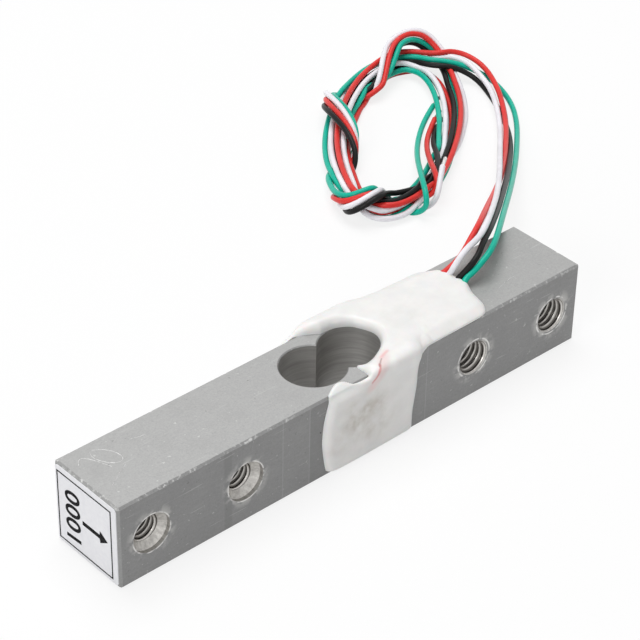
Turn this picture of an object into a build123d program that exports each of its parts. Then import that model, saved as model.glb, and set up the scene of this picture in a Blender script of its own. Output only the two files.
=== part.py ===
from build123d import *
from math import radians, tan
import os

os.makedirs("parts", exist_ok=True)

# Single-point weighing load cell: a drilled aluminium bar with four bonded strain gauges under a
# white silicone seal, four thin leads and a rating sticker on one end.
# Frame, in mm: origin under the middle of the bar, +X along the bar away from the sticker, +Z up.
# The bar lies on its side, so the binocular hole runs along Z and the threaded holes along Y.

# Bar
BEAM_LENGTH = 80.0
BEAM_SIDE = 12.7
EDGE_BREAK = 0.3

# Binocular hole: two overlapping bores through the bar leave a thin wall beside each of them
BINOCULAR_BORE_D = 9.0
BINOCULAR_SPACING = 6.6
BINOCULAR_BREAK = 0.15

# Threaded mounting holes, two at each end; the bores have the nominal thread diameter
SMALL_THREAD_D = 4.0
LARGE_THREAD_D = 5.0
END_MARGIN = 5.0
HOLE_PITCH = 15.0
COUNTERBORE_D = 5.7
COUNTERBORE_DEPTH = 0.6
COUNTERBORE_FLOOR_SLOPE = 45.0
THREAD_BREAK = 0.15

# Strain gauges, each a film with an etched foil grid and two solder tabs
FILM_WIDTH = 5.4
FILM_HEIGHT = 6.8
FILM_THICKNESS = 0.08
FOIL_THICKNESS = 0.04
GRID_STRANDS = 8
STRAND_LENGTH = 3.0
STRAND_WIDTH = 0.2
STRAND_GAP = 0.2
GRID_DROP = 1.1
TAB_WIDTH = 1.3
TAB_HEIGHT = 1.4
TAB_SPREAD = 2.8
TAB_RISE = 2.2

# Terminal board on the top face, between the binocular hole and the leads
BOARD_START = 12.0
BOARD_LENGTH = 7.6
BOARD_WIDTH = 9.6
BOARD_THICKNESS = 0.35
PAD_THICKNESS = 0.05
PAD_INSET = 0.3
INPUT_PAD = (1.0, 0.9)
OUTPUT_PAD = (2.2, 0.9)
INPUT_PAD_PITCH = 1.3

# Soldered joints, each a small block of solder over and just under the wire that it holds
SOLDER_SPREAD = 0.45
SOLDER_COVER = 0.15
SOLDER_TAPER = 8.0
SOLDER_UNDER = 0.04

# Every wire is drawn with this many flats in place of a round, which keeps the model light
WIRE_FLATS = 8

# Thin jumper wires from the gauges to the board
JUMPER_D = 0.4
JUMPER_SWEEP = 3.0
JUMPER_LANE = 0.5
JUMPER_PITCH = 0.55

# Silicone seal
SEAL_TOP = 1.7
SEAL_SIDE = 0.9
SEAL_CORNER = 0.8
SEAL_LIP = 0.7
SEAL_FOOT = 0.4
TOP_BACK_START = -1.0
TOP_FRONT_START = 1.1
TOP_END = 21.8
TOP_END_BULGE = 2.1
RIM_BACK_ANGLE = 105.0
RIM_FRONT_ANGLE = -120.0
LAP_START = -6.4
LAP_END = -2.1
LAP_DEPTH = 1.4
LAP_THICKNESS = 0.5
PATCH_START = -6.9
PATCH_END = 9.1
PATCH_BELLY = 0.45

# Leads side by side from the back of the bar to the front, and the route of the middle of the row
LEAD_D = 0.9
LEAD_ON_FLOOR = LEAD_D / 2 + 0.02
CORE_D = 0.5
LEAD_COLOURS = ("red", "white", "black", "green")
LEAD_PITCH = 1.25
LEAD_ROW_Y = 1.7
ARC_SHARE = 0.45
LEAD_ROUTE = [(26.4, 1.7, 13.35), (29.8, 2.1, 16.9), (34.6, 5.5, 17.0), (43.4, 12.9, 12.2), (53.3, 21.3, 7.2),
              (62.6, 29.2, 3.4), (69.0, 35.0, 1.1), (74.4, 40.4, LEAD_ON_FLOOR), (78.6, 45.9, LEAD_ON_FLOOR),
              (81.0, 52.0, LEAD_ON_FLOOR), (80.4, 58.0, 1.5), (76.0, 61.0, 3.0)]
GREEN_TAIL = [(50.4, 36.9, 2.4), (54.6, 40.8, LEAD_ON_FLOOR), (61.3, 46.2, LEAD_ON_FLOOR),
              (66.5, 50.2, LEAD_ON_FLOOR)]

# Bare tinned tips, start and end of each
TINNED_D = 0.5
TINNED_ENDS = {
    "red": ((62.9, 45.4, 0.27), (66.1, 47.7, 0.27)),
    "white": ((51.9, 32.8, 6.35), (55.0, 35.3, 6.35)),
    "black": ((57.9, 41.1, 0.27), (61.0, 43.5, 0.27)),
    "green": ((66.5, 50.2, LEAD_ON_FLOOR), (68.9, 52.0, 0.38)),
}

# Coil of the four leads, an oval ring lying on the floor behind the bar
COIL_CENTRE = (56.7, 48.1)
COIL_TURN = 40.0
COIL_HALF_LENGTH = 22.6
COIL_HALF_WIDTH = 9.0
COIL_END_RADIUS = 5.2
COIL_BUNDLE_D = 5.6

# Rating sticker
LABEL_MARGIN = 0.05
LABEL_THICKNESS = 0.1
LABEL_CORNER = 0.5

# Places worked out from the sizes above
HALF_SIDE = BEAM_SIDE / 2
BORE_R = BINOCULAR_BORE_D / 2
GAUGE_X = BINOCULAR_SPACING / 2
BOARD_TOP = BEAM_SIDE + BOARD_THICKNESS
PAD_TOP = BOARD_TOP + PAD_THICKNESS
BOARD_END = BOARD_START + BOARD_LENGTH
CORE_Z = PAD_TOP + SOLDER_UNDER + CORE_D / 2
JUMPER_Z = PAD_TOP + SOLDER_UNDER + JUMPER_D / 2
JUMPER_OUT = FILM_THICKNESS + FOIL_THICKNESS + SOLDER_UNDER + JUMPER_D / 2
TAB_Z = HALF_SIDE + TAB_RISE
LEAD_SHIFT = {colour: LEAD_PITCH * (1.5 - i) for i, colour in enumerate(LEAD_COLOURS)}


def tapped_hole(x, diameter, counterbored):
    """Cutter for one hole along Y: a turned shape with its mouth on the front face."""
    r = diameter / 2
    clear = 1.0
    front, rear = -HALF_SIDE, HALF_SIDE
    if counterbored:
        mouth = COUNTERBORE_D / 2
        floor = front + COUNTERBORE_DEPTH
        slope = (mouth - r) / tan(radians(COUNTERBORE_FLOOR_SLOPE))
        entry = [(mouth, front - clear), (mouth, floor), (r, floor + slope)]
    else:
        entry = [(r + THREAD_BREAK + clear, front - clear), (r, front + THREAD_BREAK)]
    leave = [(r, rear - THREAD_BREAK), (r + THREAD_BREAK + clear, rear + clear)]
    outline = [(0, front - clear), *entry, *leave, (0, rear + clear)]
    face = make_face(Polyline(*outline, close=True))
    return Pos(x, 0, HALF_SIDE) * revolve(face, Axis.Y)


def make_blank():
    """The square bar with its edges broken, before it is drilled."""
    bar = Box(BEAM_LENGTH, BEAM_SIDE, BEAM_SIDE, align=(Align.CENTER, Align.CENTER, Align.MIN))
    return chamfer(bar.edges(), EDGE_BREAK)


def make_beam(blank):
    bar = blank
    for x in (-GAUGE_X, GAUGE_X):
        bar -= Pos(x, 0, BEAM_SIDE / 2) * Cylinder(BORE_R, BEAM_SIDE * 2)
    bar = chamfer(bar.edges().filter_by(GeomType.CIRCLE), BINOCULAR_BREAK)
    outer = BEAM_LENGTH / 2 - END_MARGIN
    inner = outer - HOLE_PITCH
    for x in (-outer, -inner):
        bar -= tapped_hole(x, SMALL_THREAD_D, True)
    for x in (inner, outer):
        bar -= tapped_hole(x, LARGE_THREAD_D, False)
    return bar


def on_face(shape, side):
    """Places a shape drawn for the front face; side +1 mirrors it to the rear face."""
    return mirror(shape, Plane.XZ) if side > 0 else shape


def plate(x, z, width, height, inner, thickness):
    """A flat block on the front face, its inner side a stated distance in front of the metal."""
    y = -HALF_SIDE - inner - thickness / 2
    return Pos(x, y, z) * Box(width, thickness, height)


def make_film(x):
    return plate(x, HALF_SIDE, FILM_WIDTH, FILM_HEIGHT, 0, FILM_THICKNESS)


def make_grid(x):
    """The etched foil: strands joined in a meander, and a track from each end up to its tab."""
    pitch = STRAND_WIDTH + STRAND_GAP
    low = HALF_SIDE - GRID_DROP - pitch * (GRID_STRANDS - 1) / 2
    half = STRAND_LENGTH / 2
    foil = []
    for i in range(GRID_STRANDS):
        foil.append((x, low + i * pitch, STRAND_LENGTH, STRAND_WIDTH))
    for i in range(GRID_STRANDS - 1):
        side = 1 if i % 2 else -1
        loop_x = x + side * (half - STRAND_WIDTH / 2)
        foil.append((loop_x, low + (i + 0.5) * pitch, STRAND_WIDTH, pitch))
    top = low + (GRID_STRANDS - 1) * pitch
    foil.append((x - half + STRAND_WIDTH / 2, (top + TAB_Z) / 2, STRAND_WIDTH, TAB_Z - top))
    track_x = x + half + STRAND_GAP + STRAND_WIDTH / 2
    foil.append((track_x, (low + TAB_Z) / 2, STRAND_WIDTH, TAB_Z - low + STRAND_WIDTH))
    foil.append((x + half + STRAND_GAP / 2, low, STRAND_GAP + STRAND_WIDTH, STRAND_WIDTH))
    for side in (-1, 1):
        foil.append((x + side * TAB_SPREAD / 2, TAB_Z, TAB_WIDTH, TAB_HEIGHT))
    blocks = [plate(cx, cz, w, h, FILM_THICKNESS, FOIL_THICKNESS) for cx, cz, w, h in foil]
    return blocks[0].fuse(*blocks[1:]).clean()


def wire(points, diameter, radii=None):
    """A wire along straight runs, with tangent arcs of the given radii or with sharp corners."""
    path = FilletPolyline(*points, radius=radii) if radii else Polyline(*points)
    start = Plane(path @ 0, z_dir=path % 0)
    section = start * RegularPolygon(diameter / 2, WIRE_FLATS)
    return sweep(section, path=path, transition=Transition.TRANSFORMED if radii else Transition.RIGHT)


def rod(start, end, diameter):
    """A straight stretch of wire between two points."""
    return wire([start, end], diameter)


def solder(place, normal, diameter):
    """A soldered joint over a wire of the given diameter: a squat block that narrows outwards."""
    width = diameter + SOLDER_SPREAD
    height = diameter + SOLDER_UNDER + SOLDER_COVER
    return extrude(Plane(place, z_dir=normal) * Rectangle(width, width), height, taper=SOLDER_TAPER)


def tab_places():
    return [g + s * TAB_SPREAD / 2 for g in (-GAUGE_X, GAUGE_X) for s in (-1, 1)]


def input_pads():
    x = BOARD_START + PAD_INSET + INPUT_PAD[0] / 2
    return [(x, i * INPUT_PAD_PITCH) for i in (-3, -2, -1, 1, 2, 3)]


def output_pads():
    x = BOARD_END - PAD_INSET - OUTPUT_PAD[0] / 2
    return [(x, LEAD_ROW_Y + shift) for shift in LEAD_SHIFT.values()]


# Tabs from the near end to the far end, pads from the front edge inwards, for the front face's jumpers
TABS = ("near outer", "near inner", "far inner", "far outer")
PADS = ("edge", "middle", "inner")

# Each jumper: its gauge tab, the knee below the bar's edge (x, z), where it crosses the edge, its pad
JUMPERS = {
    "red": ("near outer", (-2.4, 10.8), 2.3, "inner"),
    "green": ("far inner", (3.4, 10.6), 5.2, "middle"),
    "black": ("far outer", (6.2, 10.6), 7.4, "edge"),
}


def make_jumper(tab, knee, edge_x, pad):
    """From a gauge tab up the front face, over the bar's edge and along the top to a board pad."""
    y = -HALF_SIDE - JUMPER_OUT
    tab_x = tab_places()[TABS.index(tab)]
    pad_x, pad_y = input_pads()[PADS.index(pad)]
    lane_y = -HALF_SIDE + JUMPER_LANE + JUMPER_PITCH * PADS.index(pad)
    return wire([
        (tab_x, y, TAB_Z),
        (knee[0], y, knee[1]),
        (edge_x, y, JUMPER_Z),
        (edge_x + JUMPER_SWEEP, lane_y, JUMPER_Z),
        (pad_x, pad_y, JUMPER_Z),
    ], JUMPER_D)


def make_link():
    """The straight wire that joins the two gauges of one face, between their inner tabs."""
    tabs = tab_places()
    y = -HALF_SIDE - JUMPER_OUT
    return rod((tabs[1], y, TAB_Z), (tabs[2], y, TAB_Z), JUMPER_D)


def tab_joints():
    y = -HALF_SIDE - FILM_THICKNESS - FOIL_THICKNESS
    return [solder((x, y, TAB_Z), (0, -1, 0), JUMPER_D) for x in tab_places()]


def make_label():
    side = BEAM_SIDE - 2 * EDGE_BREAK - 2 * LABEL_MARGIN
    plane = Plane((-BEAM_LENGTH / 2, 0, HALF_SIDE), z_dir=(-1, 0, 0))
    return extrude(plane * RectangleRounded(side, side, LABEL_CORNER), LABEL_THICKNESS)


def coil_oval():
    """Four tangent arcs: the tight ends of the ring and its two long sides."""
    a, b, r = COIL_HALF_LENGTH, COIL_HALF_WIDTH, COIL_END_RADIUS
    c = a - r
    side_r = (c * c + b * b - r * r) / (2 * (b - r))
    side_y = b - side_r
    lean = Vector(c, -side_y).normalized()
    corner = Vector(c, 0) + lean * r
    x, y = corner.X, corner.Y
    return Wire([
        ThreePointArc((x, -y), (a, 0), (x, y)).edge(),
        ThreePointArc((x, y), (0, b), (-x, y)).edge(),
        ThreePointArc((-x, y), (-a, 0), (-x, -y)).edge(),
        ThreePointArc((-x, -y), (0, -b), (x, -y)).edge(),
    ])


def make_coil():
    path = coil_oval()
    start = Plane((COIL_HALF_LENGTH, 0, 0), x_dir=(1, 0, 0), z_dir=(0, 1, 0))
    section = start * RegularPolygon(COIL_BUNDLE_D / 2, WIRE_FLATS, major_radius=False, rotation=180 / WIRE_FLATS)
    ring = sweep(section, path=path)
    return Pos(*COIL_CENTRE, COIL_BUNDLE_D / 2) * Rot(0, 0, COIL_TURN) * ring


def make_board():
    x = BOARD_START + BOARD_LENGTH / 2
    return Pos(x, 0, BEAM_SIDE + BOARD_THICKNESS / 2) * Box(BOARD_LENGTH, BOARD_WIDTH, BOARD_THICKNESS)


def make_pads():
    """The copper pads that the jumpers and the leads are soldered to."""
    z = BOARD_TOP + PAD_THICKNESS / 2
    pads = [Pos(x, y, z) * Box(*INPUT_PAD, PAD_THICKNESS) for x, y in input_pads()]
    pads += [Pos(x, y, z) * Box(*OUTPUT_PAD, PAD_THICKNESS) for x, y in output_pads()]
    return pads


def make_core(y):
    """The stripped end of a lead, lying on its pad."""
    start = BOARD_END - PAD_INSET - OUTPUT_PAD[0]
    return rod((start, y, CORE_Z), (BOARD_END, y, CORE_Z), CORE_D)


def cord_tube(name, points):
    """A free stretch of lead; each arc is as large as its two runs allow."""
    points = [Vector(p) for p in points]
    runs = [b - a for a, b in zip(points, points[1:])]
    radii = []
    for before, after in zip(runs, runs[1:]):
        half_turn = radians(before.get_angle(after)) / 2
        radii.append(ARC_SHARE * min(before.length, after.length) / tan(half_turn))
    tube = wire(points, LEAD_D, radii)
    length = FilletPolyline(*points, radius=radii).length
    share = tube.volume / (RegularPolygon(LEAD_D / 2, WIRE_FLATS).area * length)
    print(name, "length", round(length, 1), "volume over section times length", round(share, 4))
    print("  runs", [round(r.length, 1) for r in runs], "radii", [round(r, 1) for r in radii])
    return tube


def lead_lane(shift):
    """The route of one lead: the middle of the row moved sideways, seen from above."""
    route = [Vector(BOARD_END, LEAD_ROW_Y, CORE_Z)] + [Vector(*p) for p in LEAD_ROUTE]
    sides = []
    for a, b in zip(route, route[1:]):
        sides.append(Vector(a.Y - b.Y, b.X - a.X).normalized())
    lane = [route[0] + sides[0] * shift]
    for place, before, after in zip(route[1:], sides, sides[1:]):
        middle = before + after
        lane.append(place + middle * (2 * shift / middle.dot(middle)))
    return lane + [route[-1] + sides[-1] * shift]


def top_outline():
    """The seal on the top face: along the bore's rim on one side, a rounded front at the leads."""
    over = HALF_SIDE + 2 * SEAL_SIDE
    rim = [Vector(GAUGE_X, 0) + Vector(BORE_R + BINOCULAR_BREAK, 0).rotate(Axis.Z, angle)
           for angle in (RIM_BACK_ANGLE, (RIM_BACK_ANGLE + RIM_FRONT_ANGLE) / 2, RIM_FRONT_ANGLE)]
    lines = [
        Line((TOP_BACK_START, over), (TOP_BACK_START, HALF_SIDE)),
        Line((TOP_BACK_START, HALF_SIDE), rim[0]),
        ThreePointArc(*rim),
        Line(rim[2], (TOP_FRONT_START, -HALF_SIDE)),
        Line((TOP_FRONT_START, -HALF_SIDE), (TOP_FRONT_START, -over)),
        Line((TOP_FRONT_START, -over), (TOP_END, -over)),
        Line((TOP_END, -over), (TOP_END, -HALF_SIDE)),
        ThreePointArc((TOP_END, -HALF_SIDE), (TOP_END + TOP_END_BULGE, 0), (TOP_END, HALF_SIDE)),
        Line((TOP_END, HALF_SIDE), (TOP_END, over)),
        Line((TOP_END, over), (TOP_BACK_START, over)),
    ]
    return make_face(lines)


def lap_outline():
    """The small tongue of silicone that laps from the front patch onto the top face."""
    over = HALF_SIDE + 2 * SEAL_SIDE
    middle = (LAP_START + LAP_END) / 2
    lines = [
        ThreePointArc((LAP_START, -HALF_SIDE), (middle, -HALF_SIDE + LAP_DEPTH), (LAP_END, -HALF_SIDE)),
        Line((LAP_END, -HALF_SIDE), (LAP_END, -over)),
        Line((LAP_END, -over), (LAP_START, -over)),
        Line((LAP_START, -over), (LAP_START, -HALF_SIDE)),
    ]
    return make_face(lines)


def patch_outline():
    """The seal over the gauges, drawn on the front face; its ends belly outwards."""
    top = BEAM_SIDE - EDGE_BREAK
    middle = (SEAL_FOOT + top) / 2
    left, right = PATCH_START + PATCH_BELLY, PATCH_END - PATCH_BELLY
    lines = [
        Line((left, SEAL_FOOT), (right, SEAL_FOOT)),
        ThreePointArc((right, SEAL_FOOT), (PATCH_END, middle), (right, top)),
        Line((right, top), (left, top)),
        ThreePointArc((left, top), (PATCH_START, middle), (left, SEAL_FOOT)),
    ]
    return Plane.XZ * make_face(lines)


def seal_blank():
    """A saddle of even thickness over the bar's top and sides, cut to the seal's outlines."""
    width = BEAM_SIDE + 2 * SEAL_SIDE
    height = BEAM_SIDE + SEAL_TOP
    length = BEAM_LENGTH / 2
    section = Pos(0, height / 2) * Rectangle(width, height)
    section = fillet(section.vertices().group_by(Axis.Y)[-1], SEAL_CORNER)
    saddle = extrude(Plane.YZ * section, length, both=True)
    lip_z = BEAM_SIDE - SEAL_LIP
    top = Pos(0, 0, lip_z) * extrude(top_outline(), SEAL_LIP + SEAL_TOP)
    lap = Pos(0, 0, lip_z) * extrude(lap_outline(), SEAL_LIP + LAP_THICKNESS)
    front = Pos(0, -HALF_SIDE, 0) * extrude(patch_outline(), 2 * SEAL_SIDE)
    return saddle & (top + lap + front + mirror(front, Plane.XZ))


def make_seal(blank, buried):
    """The cured silicone, moulded over the bar and round everything that it covers."""
    seal = seal_blank() - blank
    for shape in buried:
        seal = seal - shape
    return seal


blank = make_blank()
parts = {"beam": make_beam(blank), "rating_label": make_label()}

# Gauges, their links and jumpers, on the front face and mirrored to the rear face
whole_joints = []
tab_solder = []
for side, face in ((-1, "front"), (1, "rear")):
    for x, end in ((-GAUGE_X, "near"), (GAUGE_X, "far")):
        parts[f"gauge_film_{face}_{end}"] = on_face(make_film(x), side)
        parts[f"gauge_foil_{face}_{end}"] = on_face(make_grid(x), side)
    wires = {f"gauge_link_{face}": on_face(make_link(), side)}
    for colour, route in JUMPERS.items():
        wires[f"jumper_{face}_{colour}"] = on_face(make_jumper(*route), side)
    parts.update(wires)
    joints = [on_face(joint, side) for joint in tab_joints()]
    tab_solder += [joint.cut(*wires.values()) for joint in joints]
    whole_joints += joints
parts["tab_solder_joints"] = Compound(tab_solder)

# Terminal board with its pads, the stripped ends of the leads and the soldered joints
jumpers = [shape for name, shape in parts.items() if name.startswith("jumper_")]
cores = [make_core(LEAD_ROW_Y + shift) for shift in LEAD_SHIFT.values()]
input_joints = [solder((*place, PAD_TOP), (0, 0, 1), JUMPER_D) for place in input_pads()]
output_joints = [solder((*place, PAD_TOP), (0, 0, 1), CORE_D) for place in output_pads()]
input_solder = [joint.cut(*jumpers) for joint in input_joints]
output_solder = [joint.cut(*cores) for joint in output_joints]
whole_joints += input_joints + output_joints
parts["terminal_board"] = make_board()
parts["terminal_pads"] = Compound(make_pads())
parts["lead_cores"] = Compound(cores)
parts["jumper_solder_joints"] = Compound(input_solder)
parts["lead_solder_joints"] = Compound(output_solder)

# Leads, the coil that they are wound into, and their bare tips
coil = make_coil()
parts["wire_coil"] = coil
for colour, shift in LEAD_SHIFT.items():
    parts[f"{colour}_lead"] = cord_tube(f"{colour}_lead", lead_lane(shift)) - coil
parts["green_lead_tail"] = cord_tube("green_lead_tail", GREEN_TAIL) - coil
for colour, (start, end) in TINNED_ENDS.items():
    parts[f"{colour}_tinned_end"] = rod(start, end, TINNED_D)

# The seal is moulded round everything on the bar between the gauges and the start of the leads
on_bar = ("gauge_", "jumper_front", "jumper_rear", "terminal_", "lead_cores")
buried = [shape for name, shape in parts.items() if name.startswith(on_bar) or name.endswith("_lead")]
parts["silicone_seal"] = make_seal(blank, buried + whole_joints)

for name, shape in parts.items():
    export_step(shape, f"parts/{name}.step")
    print(name, "solids", len(shape.solids()), "volume", round(sum(s.volume for s in shape.solids()), 3))
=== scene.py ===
# %% [markdown]
# # A weighing load cell with its coil of thin leads
# The object is a square aluminium bar with a dumbbell-shaped hole, a lump of white silicone over its
# strain gauges, four thin coloured leads wound into a loose ring, and a small paper sticker on one end.
# The CAD model gives every rigid part its place and size. This script adds the looks around it.

# %% Load the frame
import bpy
import numpy as np
from mathutils import Matrix, Vector


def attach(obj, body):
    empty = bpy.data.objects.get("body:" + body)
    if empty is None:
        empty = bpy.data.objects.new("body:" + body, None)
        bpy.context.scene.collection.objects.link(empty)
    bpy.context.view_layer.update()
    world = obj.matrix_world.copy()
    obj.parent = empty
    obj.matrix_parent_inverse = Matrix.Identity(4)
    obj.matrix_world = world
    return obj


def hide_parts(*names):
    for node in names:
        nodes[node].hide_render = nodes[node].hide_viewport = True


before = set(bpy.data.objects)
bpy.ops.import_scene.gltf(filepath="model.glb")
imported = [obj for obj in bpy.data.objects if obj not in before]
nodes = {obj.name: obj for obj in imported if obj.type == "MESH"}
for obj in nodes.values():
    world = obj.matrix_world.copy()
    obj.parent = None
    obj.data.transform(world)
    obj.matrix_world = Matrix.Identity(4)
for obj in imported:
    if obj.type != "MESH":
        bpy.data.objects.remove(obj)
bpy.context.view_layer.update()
MM = 0.001

# %% [markdown]
# ## The camera
# The photograph looks down on the sticker's end of the bar from a little over thirty centimetres away.
# A camera could be placed by eye, but the bar's corners and hole centres are known in millimetres, so
# its direction, distance and lens were fitted to them once and are written here as plain values.

# %% Camera
AZIMUTH, ELEVATION, ROLL = -0.74166, 0.62271, 0.02118
DISTANCE = 329.85 * MM
TARGET = np.array([10.405, 13.812, 6.0]) * MM
level = np.array([np.cos(AZIMUTH), np.sin(AZIMUTH), 0.0])
away = np.array([np.sin(AZIMUTH), -np.cos(AZIMUTH), 0.0])
back = np.cos(ELEVATION) * away + np.array([0.0, 0.0, np.sin(ELEVATION)])
upright = np.cross(back, level)
right = np.cos(ROLL) * level + np.sin(ROLL) * upright
up = -np.sin(ROLL) * level + np.cos(ROLL) * upright
camera = bpy.data.objects.new("camera", bpy.data.cameras.new("camera"))
bpy.context.scene.collection.objects.link(camera)
place = Matrix([[*column] for column in np.column_stack([right, up, back])]).to_4x4()
place.translation = Vector(TARGET + DISTANCE * back)
camera.matrix_world = place
camera.data.lens = 135.55
camera.data.sensor_width = 36.0
camera.data.clip_start = 0.01
bpy.context.scene.camera = camera
print("camera at", [round(v, 4) for v in place.translation])

# %% [markdown]
# ## Helpers for materials
# Every finish here is a Principled shader with a little noise behind its colour, roughness and bump.
# A helper keeps those recipes short: it makes nodes by type and joins them by the names of their sockets.

# %% Material helpers
class Finish:
    """One node-based material and the few moves that all of them share."""

    def __init__(self, name, colour, roughness, metallic=0.0, **sockets):
        self.material = bpy.data.materials.new(name)
        self.material.use_nodes = True
        self.tree = self.material.node_tree
        self.shader = self.tree.nodes["Principled BSDF"]
        self.set("Base Color", (*colour, 1.0))
        self.set("Roughness", roughness)
        self.set("Metallic", metallic)
        for socket, value in sockets.items():
            self.set(socket.replace("_", " "), value)
        self.coords = self.node("ShaderNodeTexCoord").outputs["Object"]

    def set(self, socket, value):
        self.shader.inputs[socket].default_value = value

    def node(self, kind, inputs=(), **settings):
        """A new node; inputs maps a socket's name or number to a value or to another node's output."""
        made = self.tree.nodes.new(kind)
        for key, value in settings.items():
            setattr(made, key, value)
        for key, value in dict(inputs).items():
            if isinstance(value, bpy.types.NodeSocket):
                self.tree.links.new(value, made.inputs[key])
            else:
                made.inputs[key].default_value = value
        return made

    def stretched(self, scale):
        """Object coordinates multiplied along X, Y and Z, so that a pattern comes out long or wide."""
        return self.node("ShaderNodeMapping", {"Vector": self.coords, "Scale": scale}).outputs["Vector"]

    def noise(self, scale, detail=3.0, roughness=0.55, vector=None):
        inputs = {"Vector": vector or self.coords, "Scale": scale, "Detail": detail, "Roughness": roughness}
        return self.node("ShaderNodeTexNoise", inputs).outputs["Fac"]

    def remap(self, value, low, high, to_low=0.0, to_high=1.0):
        inputs = {"Value": value, "From Min": low, "From Max": high, "To Min": to_low, "To Max": to_high}
        return self.node("ShaderNodeMapRange", inputs).outputs["Result"]

    def math(self, operation, a, b=0.0):
        return self.node("ShaderNodeMath", {0: a, 1: b}, operation=operation).outputs[0]

    def mix(self, factor, a, b):
        """A colour between a and b; either is a colour or another node's output."""
        made = self.node("ShaderNodeMix", data_type="RGBA")
        for key, value in ((0, factor), (6, a), (7, b)):
            if isinstance(value, bpy.types.NodeSocket):
                self.tree.links.new(value, made.inputs[key])
            else:
                made.inputs[key].default_value = (*value, 1.0) if key else value
        return made.outputs[2]

    def paint(self, mask, strength, under, colour):
        """A colour laid over another by a mask times a strength."""
        return self.mix(self.math("MULTIPLY", mask, strength), under, colour)

    def join(self, output, socket):
        self.tree.links.new(output, self.shader.inputs[socket])

    def two_tone(self, pattern, low, high, a, b):
        """A base colour that goes from a to b as a pattern goes from low to high."""
        self.join(self.mix(self.remap(pattern, low, high), a, b), "Base Color")

    def bump(self, height, strength, distance):
        """Tilts the surface by a height pattern; bumps made one after another add up."""
        inputs = {"Height": height, "Strength": strength, "Distance": distance}
        old = self.shader.inputs["Normal"].links
        if old:
            inputs["Normal"] = old[0].from_socket
        self.join(self.node("ShaderNodeBump", inputs).outputs["Normal"], "Normal")


def wear(piece, finish):
    """Gives a piece one finish."""
    piece.data.materials.clear()
    piece.data.materials.append(finish.material)


# %% [markdown]
# ## Helpers for shapes
# A new piece is a surface worked out with numpy: points on a grid of two parameters. One helper turns
# such a grid into faces, with its ends joined where asked, and another puts the mesh in the scene.

# %% Shape helpers
def add_object(name, data):
    """A new object in the scene, at the origin."""
    made = bpy.data.objects.new(name, data)
    bpy.context.scene.collection.objects.link(made)
    return made


def add_mesh(name, points, faces, smooth=True):
    """A mesh object from points in mm and lists of corners."""
    mesh = bpy.data.meshes.new(name)
    mesh.from_pydata((np.asarray(points) * MM).tolist(), [], [list(face) for face in faces])
    mesh.polygons.foreach_set("use_smooth", np.full(len(mesh.polygons), smooth))
    mesh.update()
    return add_object(name, mesh)


def grid_faces(rows, columns, close_rows=False, close_columns=False):
    """Quads of a grid whose point (i, j) is number i * columns + j."""
    i = np.arange(rows if close_rows else rows - 1)
    j = np.arange(columns if close_columns else columns - 1)
    i, j = (v.ravel() for v in np.meshgrid(i, j, indexing="ij"))
    i2, j2 = (i + 1) % rows, (j + 1) % columns
    return np.stack([i * columns + j, i2 * columns + j, i2 * columns + j2, i * columns + j2], axis=1)


def cut_corners(points, rounds, closed):
    """Each round puts two points on every side, a quarter in from its ends; an open path keeps its ends."""
    for _ in range(rounds):
        before, after = (points, np.roll(points, -1, axis=0)) if closed else (points[:-1], points[1:])
        pair = np.stack([0.75 * before + 0.25 * after, 0.25 * before + 0.75 * after], axis=1)
        cut = pair.reshape(-1, 2)
        points = cut if closed else np.vstack([points[:1], cut, points[-1:]])
    return points


def finished(piece, slot, *replaced):
    """Sends a new piece with the bar's body and hides the CAD nodes it replaces; the slot argument is not
    used.
    """
    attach(piece, "root")
    if replaced:
        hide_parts(*replaced)
    return piece


# %% [markdown]
# ## The four leads
# Each lead is a stranded wire in soft plastic, a little under a millimetre thick. It comes out of the
# silicone, arches over the bar's rear edge, lies down on the floor and joins a ring in which all four
# go about two and a half times round. The last part spirals round the other turns and holds them.
#
# The ring could be modelled as one bundle, but then no wire would pass over another. Here each lead has
# its own line. The free stretch and the tail are seen clearly in the photograph, so their points are
# given as column and row of the picture and a height above the floor, and the camera's own geometry
# turns them into places. The turns follow a rule that carries a lane round an oval. A lane is a list of
# places across the bundle. At the end all lines are pushed apart where they come closer than one
# thickness, in the way that real wires do.

# %% Where a point of the picture lies in space
LEAD_D = 0.88
PICTURE_SIDE = 640
VIEW_FOCUS = camera.data.lens / camera.data.sensor_width * PICTURE_SIDE


def seen_at(places):
    """Rays from the camera's eye through columns and rows, each cut at its height above the floor."""
    column, row, height = np.array(places, float).T
    middle = PICTURE_SIDE / 2
    ray = np.outer(column - middle, right) - np.outer(row - middle, up) - VIEW_FOCUS * back
    eye = (TARGET + DISTANCE * back) / MM
    return eye + ray * ((height - eye[2]) / ray[:, 2])[:, None]


print("the picture's middle at floor level is", seen_at([(320, 320, 0)]).round(1))

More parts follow.
